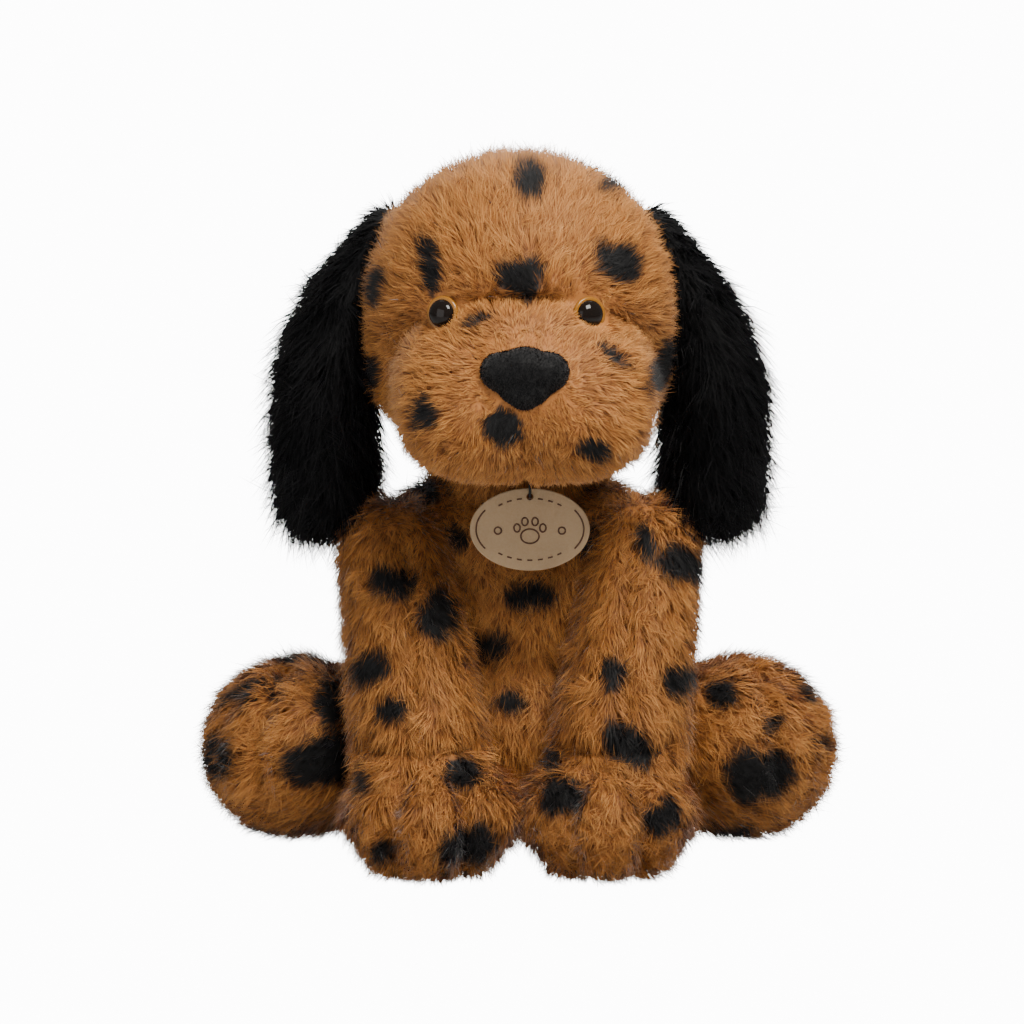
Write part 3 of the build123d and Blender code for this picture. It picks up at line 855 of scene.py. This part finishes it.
class DOG_OT_head(bpy.types.Operator):
    """Sew and stuff the head and the muzzle"""

    bl_idname = "dog.head"
    bl_label = "Head"

    def execute(self, context):
        lumps = [lump(HEAD, (57.5, 56.5, 57.5)), lump((0, -14, 186), (56, 46, 38))]
        middle, ahead, up = MUZZLE
        lumps += roll((middle - 18, ahead + 2, up), (middle + 18, ahead + 2, up), 29.5, 29.5, 5)
        lumps += [lump((middle + side * 21, -57, 174), (25, 25, 21.5)) for side in (-1, 1)]
        lumps += [lump((middle, -58, 194), (30, 20, 15))]
        skin = sewn_form("head_skin", lumps, voxel=3.4, smooth=6, swell=1.5)
        points, normals = points_of(skin.data), normals_of(skin.data)
        for name in EYES:
            centre, normal = eye_place(name)
            near = bell(np.linalg.norm(points - centre, axis=1), 9)
            depth = np.maximum((points - centre) @ normal + 1.0, 0)
            points = points - normal * (near * (depth + 0.8))[:, None]
        share, rim = muzzle_share(points)
        muzzle_push, rim_depth = 7.0, 4.2
        points[:, 1] -= muzzle_push * share
        for distance in eye_distances(points):
            rim *= 1 - np.exp(-(distance / 11) ** 4)
        points -= normals * (rim_depth * rim)[:, None]
        points = crease(points, normals, (middle, ahead, 0), 0, 2.4, 1.8, 140, 176)
        set_points(skin.data, points)
        covers = ("forehead_gusset", "head_left_panel", "head_right_panel", "muzzle_cover", "chin_panel")
        dress(skin, "head", covers, ("head_stuffing", "muzzle_stuffing"), 0.8, (21, 22), head_flow,
              inset=5.0, keep=clear_of_face, density=1.1, tone=muzzle_tone, trim=short_at_face)
        return {"FINISHED"}


def facing(origin, normal):
    """A matrix in metres whose +Z looks along a normal, with +X kept level."""
    ahead = Vector(normal).normalized()
    level = Vector((0, 0, 1)).cross(ahead).normalized()
    matrix = Matrix((level, ahead.cross(level), ahead)).transposed().to_4x4()
    matrix.translation = Vector(origin) * MM
    return matrix


def lathe(name, profile, matrix, steps=48):
    """A turned piece: radius and height pairs in millimetres about the matrix's +Z."""
    shape = bmesh.new()
    rings = []
    for radius, height in profile:
        turns = [2 * math.pi * step / steps for step in range(steps)] if radius > 0 else [0]
        ring = [Vector((radius * math.cos(turn), radius * math.sin(turn), height)) for turn in turns]
        rings.append([shape.verts.new(matrix @ (MM * place)) for place in ring])
    for low, high in zip(rings, rings[1:]):
        for step in range(steps):
            corners = [low[step % len(low)], low[(step + 1) % len(low)],
                       high[(step + 1) % len(high)], high[step % len(high)]]
            shape.faces.new(list(dict.fromkeys(corners)))
    bmesh.ops.recalc_face_normals(shape, faces=shape.faces)
    made = object_from(shape, name)
    shade_smooth(made.data)
    return made


class DOG_OT_eyes(bpy.types.Operator):
    """Turn the plastic eyes"""

    bl_idname = "dog.eyes"
    bl_label = "Eyes"

    def execute(self, context):
        for name in EYES:
            centre, normal = eye_place(name)
            matrix = facing(centre + normal * 0.1, normal)
            iris = lathe(f"{name}_eye_ring", ((0, 0), (6.2, 0), (6.6, 0.5), (6.55, 1.1), (6.2, 1.55),
                                              (5.7, 1.75), (5.2, 1.6), (0, 1.6)), matrix)
            finish_piece(iris, "head", "eye_amber", (f"{name}_eye_iris",))
            quarter = [math.pi / 2 * step / 12 for step in range(1, 13)]
            arc = [(5.25 * math.sin(angle), 1.3 + 3.3 * math.cos(angle)) for angle in quarter]
            dome = lathe(f"{name}_eye_pupil", ((0, 4.6), *arc, (5.0, 0.9), (0, 0.9)), matrix)
            finish_piece(dome, "head", "eye_black", (f"{name}_eye_dome",))
        return {"FINISHED"}


class DOG_OT_nose(bpy.types.Operator):
    """Stuff the velvet nose"""

    bl_idname = "dog.nose"
    bl_label = "Nose"

    def execute(self, context):
        x, y, z = NOSE
        turn = (-NOSE_TILT, 0, 0)
        lumps = [lump((x + side * 8.5, y - 1.5, z + 3.6), (8.2, 8.6, 7.8), turn) for side in (-1, 1)]
        lumps += [lump((x, y - 2.2, z + 5.0), (10, 9.0, 8.4), turn),
                  lump((x, y - 1.4, z - 2.0), (11.5, 8.8, 8), turn),
                  lump((x, y + 0.2, z - 7.0), (7.2, 7.8, 6), turn)]
        skin = sewn_form("nose_velvet", lumps, voxel=1.3, smooth=7, finer=0)
        finish_piece(skin, "head", "velvet", ("nose_cover",))
        fill_form("nose_filling", skin, "head", ("nose_stuffing",), 1.6)
        nap = grow_pile("nose_nap", skin, "black_pile", pile().nap_length, down_flow,
                        bench_seed() + 31, width=0.00022, density=5.0, lay=0.5)
        finish_piece(nap, "head")
        return {"FINISHED"}


def ear_arc(share):
    """The ear's middle line: across and up at a share of its length, and its slope."""
    start, middle, end = (np.array(place, float) for place in ((51, 231), (71, 184), (72, 122)))
    control = 2 * middle - 0.5 * (start + end)
    place = (1 - share) ** 2 * start + 2 * share * (1 - share) * control + share**2 * end
    slope = 2 * (1 - share) * (control - start) + 2 * share * (end - control)
    return place, math.degrees(math.atan2(slope[0], -slope[1]))


class DOG_OT_ears(bpy.types.Operator):
    """Sew the long hanging ears"""

    bl_idname = "dog.ears"
    bl_label = "Ears"

    def execute(self, context):
        for number, (name, side) in enumerate(SIDES.items()):
            lumps = []
            for step in range(15):
                share = step / 14 * 0.93
                (across, up), slope = ear_arc(share)
                fullness = math.sin(math.pi * min(share / 1.4, 0.5))
                half, thick = 14 + 13 * fullness**1.4, 6.0 + 8.0 * fullness
                lumps.append(lump((side * across, 6, up), (thick, half, 10), (0, -side * slope, 0)))
            skin = sewn_form(f"{name}_ear_skin", lumps, voxel=2.6, smooth=6, finer=0, swell=1.0)
            finish_piece(skin, f"{name}_ear", "black_cloth",
                         (f"{name}_ear_outer", f"{name}_ear_lining", f"{name}_ear_root"))
            fur = grow_pile(f"{name}_ear_pile", skin, "black_pile", pile().ear_length, ear_flow,
                            bench_seed() + 41 + number, width=0.00045, lay=1.6, ragged=0.5,
                            density=1.1, trim=lambda p: np.clip((245 - p[:, 2]) / 45, 0.45, 1))
            finish_piece(fur, f"{name}_ear")
        return {"FINISHED"}


class DOG_OT_forelegs(bpy.types.Operator):
    """Sew and stuff the forelegs and their paws"""

    bl_idname = "dog.forelegs"
    bl_label = "Forelegs"

    def execute(self, context):
        for number, (name, side) in enumerate(SIDES.items()):
            x, y, z = FORE_PAW
            lumps = roll((side * 47, -14, 112), (side * 37.5, -45, 44), 20.5, 24.0)
            lumps += [lump((side * (x - 0.5), y, z), (32.5, 29.5, 21))]
            for heading in (-46, 0, 46):
                angle = math.radians(heading)
                lumps.append(lump((side * x + 17 * math.sin(angle), y - 15.5 * math.cos(angle), 18),
                                  (14.5, 14.5, 17)))
            skin = sewn_form(f"{name}_foreleg_skin", lumps, smooth=5, swell=1.5)
            points, normals = points_of(skin.data), normals_of(skin.data)
            for heading in (-23, 23):
                points = crease(points, normals, (side * x, y + 6, 0), heading, 7.0, 2.8, 3, 45)
            points = crease(points, normals, (side * 42, -30, 0), -5 * side, 4.2, 2.6, 52, 128)
            ankle = bell(points[:, 2] - 49, 5) * (points[:, 1] < -52)
            points = points - normals * (4.6 * ankle)[:, None]
            set_points(skin.data, rest_on_floor(points))
            dress(skin, f"{name}_foreleg", (f"{name}_foreleg_sleeve", f"{name}_fore_paw_cover"),
                  (f"{name}_foreleg_stuffing",), 0.75, (51 + number, 55 + number), leg_flow,
                  keep=above_floor)
        return {"FINISHED"}


class DOG_OT_hindlegs(bpy.types.Operator):
    """Sew and stuff the hind legs and their paws"""

    bl_idname = "dog.hindlegs"
    bl_label = "Hind legs"

    def execute(self, context):
        for number, (name, side) in enumerate(SIDES.items()):
            x, y, z = HIND_PAW
            lumps = roll((side * 46, 20, 34), (side * 78, -3, 33), 26, 27)
            lumps += [lump((side * (x + 1), y, z + 2), (34, 33, 33))]
            for heading in (6, 44, 82):
                angle = math.radians(heading)
                lumps.append(lump((side * (x + 15 * math.sin(angle)), y - 15 * math.cos(angle), 38),
                                  (17, 17, 24)))
            skin = sewn_form(f"{name}_hindleg_skin", lumps, smooth=5, swell=1.5)
            points, normals = points_of(skin.data), normals_of(skin.data)
            for heading in (25, 63):
                points = crease(points, normals, (side * x, y, 0), side * heading, 6.0, 3.2, 24, 74)
            set_points(skin.data, rest_on_floor(points))
            dress(skin, f"{name}_hindleg", (f"{name}_thigh_cover", f"{name}_hind_paw_cover"),
                  (f"{name}_hindleg_stuffing",), 0.75, (61 + number, 65 + number), hind_flow,
                  keep=above_floor)
        return {"FINISHED"}


class DOG_OT_toe_stitches(bpy.types.Operator):
    """Sink the toe stitches into the creases of the paws"""

    bl_idname = "dog.toe_stitches"
    bl_label = "Toe stitches"

    def execute(self, context):
        for name, side in SIDES.items():
            for limb, paw in (("fore", FORE_PAW), ("hind", HIND_PAW)):
                node_name = f"{name}_{limb}_toe_threads"
                source = frame["nodes"][node_name]
                made = link(bpy.data.objects.new(f"{name}_{limb}_toe_stitches", source.data.copy()))
                made.matrix_world = source.matrix_world
                points = np.array([made.matrix_world @ v.co for v in made.data.vertices]) / MM
                made.matrix_world = Matrix.Identity(4)
                centre, drawn_in = np.array((side * paw[0], paw[1], paw[2]), float), 0.86
                set_points(made.data, centre + (points - centre) * drawn_in)
                finish_piece(made, f"{name}_{limb}leg", "thread_brown",
                             (node_name,))
        return {"FINISHED"}


class DOG_OT_tail(bpy.types.Operator):
    """Sew and stuff the tail"""

    bl_idname = "dog.tail"
    bl_label = "Tail"

    def execute(self, context):
        skin = sewn_form("tail_skin", roll((0, 58, 38), (0, 78.5, 50), 12, 9), voxel=2.6, finer=0)
        dress(skin, "tail", ("tail_cover",), ("tail_stuffing",), 0.7, (71, 72), tail_flow)
        return {"FINISHED"}


def tag_matrix():
    tilt = math.radians(TAG_TILT)
    return facing(TAG, (0, -math.cos(tilt), math.sin(tilt)))


def line_work(name, strokes, matrix, width, height):
    """Pressed lines as thin round tubes along strokes of points in millimetres."""
    curve = bpy.data.curves.new(name, "CURVE")
    curve.dimensions, curve.bevel_depth, curve.bevel_resolution = "3D", width * MM / 2, 2
    for stroke, closed in strokes:
        spline = curve.splines.new("POLY")
        spline.points.add(len(stroke) - 1)
        for point, (x, y) in zip(spline.points, stroke):
            point.co = (*(matrix @ Vector((x * MM, y * MM, height * MM))), 1)
        spline.use_cyclic_u = closed
    drawn = link(bpy.data.objects.new(name, curve))
    mesh = evaluated_mesh(drawn)
    bpy.data.objects.remove(drawn)
    shade_smooth(mesh)
    return link(bpy.data.objects.new(name, mesh))


def ellipse_points(centre, radii, start=0, end=360, steps=40):
    angles = [math.radians(start + (end - start) * step / steps) for step in range(steps + 1)]
    return [(centre[0] + radii[0] * math.cos(angle), centre[1] + radii[1] * math.sin(angle))
            for angle in angles]


class DOG_OT_tag(bpy.types.Operator):
    """Cut the tag and press its border and paw print"""

    bl_idname = "dog.tag"
    bl_label = "Tag"

    def execute(self, context):
        matrix = tag_matrix()
        face = self.plate("tag_leather_face", matrix, 0.0, 1.0, 0.55)
        finish_piece(face, "tag", "tag_leather", ("tag_face",))
        back = self.plate("tag_felt_back", matrix, -0.8, -0.02, 0.15)
        finish_piece(back, "tag", "tag_felt", ("tag_backing",))
        strokes = []
        for start, end in ((-34, 34), (146, 214)):
            strokes.append((ellipse_points((0, 0), (20.2, 12.9), start, end), False))
        strokes += [(ellipse_points((0, -2.6), (3.4, 2.7), 0, 348), True)]
        for angle in map(math.radians, (30, 70, 110, 150)):
            toe = (5.6 * math.cos(angle), -2.2 + 5.4 * math.sin(angle))
            strokes.append((ellipse_points(toe, (1.15, 1.5), 0, 340, 20), True))
        for x, y in ((-12, -0.5), (12, -0.5)):
            strokes.append((ellipse_points((x, y), (1.3, 1.3), 0, 340, 20), True))
        for middle in (90, 270):
            for step in range(-3, 4):
                angle = middle + 12.5 * step
                strokes.append((ellipse_points((0, 0), (18.2, 11.6), angle - 3, angle + 3, 6), False))
        lines = line_work("tag_pressed_lines", strokes, matrix, 0.62, 1.03)
        finish_piece(lines, "tag", "tag_ink")
        return {"FINISHED"}

    def plate(self, name, matrix, low, high, ease):
        """An oval plate with a round hole near its top edge and eased rims."""
        steps, hole, radius = 72, Vector((0, 12.2)), 1.3
        shape = bmesh.new()
        levels = [(0, high), (1 - 0.03 * ease, high), (1, high - ease * 0.5), (1, low + ease * 0.5),
                  (1 - 0.03 * ease, low), (0, low)]
        rings = []
        for share, z in levels:
            ring = []
            for step in range(steps):
                angle = 2 * math.pi * step / steps
                rim = Vector((22.5 * share * math.cos(angle), 15.5 * share * math.sin(angle)))
                inner = hole + Vector((math.cos(angle), math.sin(angle))) * radius
                flat = inner if share == 0 else rim
                ring.append(shape.verts.new(matrix @ Vector((flat.x * MM, flat.y * MM, z * MM))))
            rings.append(ring)
        for first, second in zip(rings, rings[1:] + rings[:1]):
            for step in range(steps):
                after = (step + 1) % steps
                shape.faces.new((first[step], first[after], second[after], second[step]))
        bmesh.ops.recalc_face_normals(shape, faces=shape.faces)
        return object_from(shape, name)


class DOG_OT_inner_finishes(bpy.types.Operator):
    """Give the carried-over parts inside the toy their finishes"""

    bl_idname = "dog.inner_finishes"
    bl_label = "Inner finishes"

    def execute(self, context):
        slots = {part["node"]: part["material_slot"] for part in frame["record"]["subparts"]}
        for name, part in frame["nodes"].items():
            finish = slots[name]
            if finish in ("tan_pile", "black_pile"):
                finish = finish.replace("pile", "cloth")
                if finish == "tan_cloth" and "spot" not in part.data.attributes:
                    store(part.data, "spot", np.zeros(len(part.data.vertices)))
            for slot in part.material_slots:
                slot.material = material(finish)
        return {"FINISHED"}


class DOG_OT_stage(bpy.types.Operator):
    """Set the camera, the lights and the floor"""

    bl_idname = "dog.stage"
    bl_label = "Stage"

    def execute(self, context):
        scene, stage = context.scene, context.scene.dog_stage
        camera = bpy.data.cameras.new("camera")
        camera.sensor_width = SENSOR_WIDTH
        camera.lens = SENSOR_WIDTH * stage.distance / stage.frame_height
        made = link(bpy.data.objects.new("camera", camera))
        offset = Vector((0, -math.cos(stage.elevation), math.sin(stage.elevation))) * stage.distance
        made.location = Vector(CAMERA_AIM) + offset
        made.rotation_euler = (-offset).to_track_quat("-Z", "Y").to_euler()
        scene.camera = made
        for name, place, power, size, colour in LAMPS:
            light = bpy.data.lights.new(name, "AREA")
            light.energy, light.size, light.color = power, size, colour
            lamp = link(bpy.data.objects.new(name, light))
            lamp.location = place
            aim = Vector(LAMP_AIM) - Vector(place)
            lamp.rotation_euler = aim.to_track_quat("-Z", "Y").to_euler()
        world = bpy.data.worlds.new("studio")
        world.use_nodes = True
        tree = world.node_tree
        rays = node(tree, "ShaderNodeLightPath")
        power = node(tree, "ShaderNodeMapRange", in_3=stage.ambient, in_4=BACKDROP_GLOW)
        tree.links.new(rays.outputs["Is Camera Ray"], power.inputs[0])
        tree.nodes["Background"].inputs[0].default_value = (1, 1, 1, 1)
        tree.links.new(power.outputs[0], tree.nodes["Background"].inputs[1])
        scene.world = world
        self.floor()
        return {"FINISHED"}

    def floor(self):
        bpy.ops.mesh.primitive_plane_add(size=12)
        floor = bpy.context.object
        floor.name = "floor"
        made, tree, shader = new_material("floor", roughness=0.9)
        shader.inputs["Base Color"].default_value = (0.5, 0.5, 0.5, 1)
        glow = node(tree, "ShaderNodeEmission", in_1=BACKDROP_GLOW)
        blend = node(tree, "ShaderNodeMixShader")
        rays = node(tree, "ShaderNodeLightPath")
        share = node(tree, "ShaderNodeMath", operation="MULTIPLY", in_1=FLOOR_WHITENESS)
        tree.links.new(rays.outputs["Is Camera Ray"], share.inputs[0])
        tree.links.new(share.outputs[0], blend.inputs[0])
        tree.links.new(shader.outputs[0], blend.inputs[1])
        tree.links.new(glow.outputs[0], blend.inputs[2])
        tree.links.new(blend.outputs[0], tree.nodes["Material Output"].inputs[0])
        floor.data.materials.append(made)


OPERATORS = (
    DOG_OT_stage, DOG_OT_inner_finishes, DOG_OT_torso, DOG_OT_head, DOG_OT_eyes, DOG_OT_nose,
    DOG_OT_ears, DOG_OT_forelegs, DOG_OT_hindlegs, DOG_OT_toe_stitches,
    DOG_OT_tail, DOG_OT_tag,
)


class DOG_PT_panel(bpy.types.Panel):
    """Plush dog tools"""

    bl_idname = "DOG_PT_panel"
    bl_label = "Plush Dog"
    bl_space_type = "VIEW_3D"
    bl_region_type = "UI"
    bl_category = "Plush Dog"

    def draw(self, context):
        for settings in (context.scene.dog_pile, context.scene.dog_colours, context.scene.dog_stage):
            box = self.layout.box()
            for name in settings.__annotations__:
                box.prop(settings, name)
        for operator in OPERATORS:
            self.layout.operator(operator.bl_idname)


CLASSES = (PileSettings, ColourSettings, StageSettings, *OPERATORS, DOG_PT_panel)


def register():
    for made in CLASSES:
        bpy.utils.register_class(made)
    bpy.types.Scene.dog_pile = PointerProperty(type=PileSettings)
    bpy.types.Scene.dog_colours = PointerProperty(type=ColourSettings)
    bpy.types.Scene.dog_stage = PointerProperty(type=StageSettings)


def unregister():
    del bpy.types.Scene.dog_pile, bpy.types.Scene.dog_colours, bpy.types.Scene.dog_stage
    for made in reversed(CLASSES):
        bpy.utils.unregister_class(made)


def main():
    register()
    for operator in OPERATORS:
        group, name = operator.bl_idname.split(".")
        getattr(getattr(bpy.ops, group), name)()


if __name__ == "__main__":
    main()
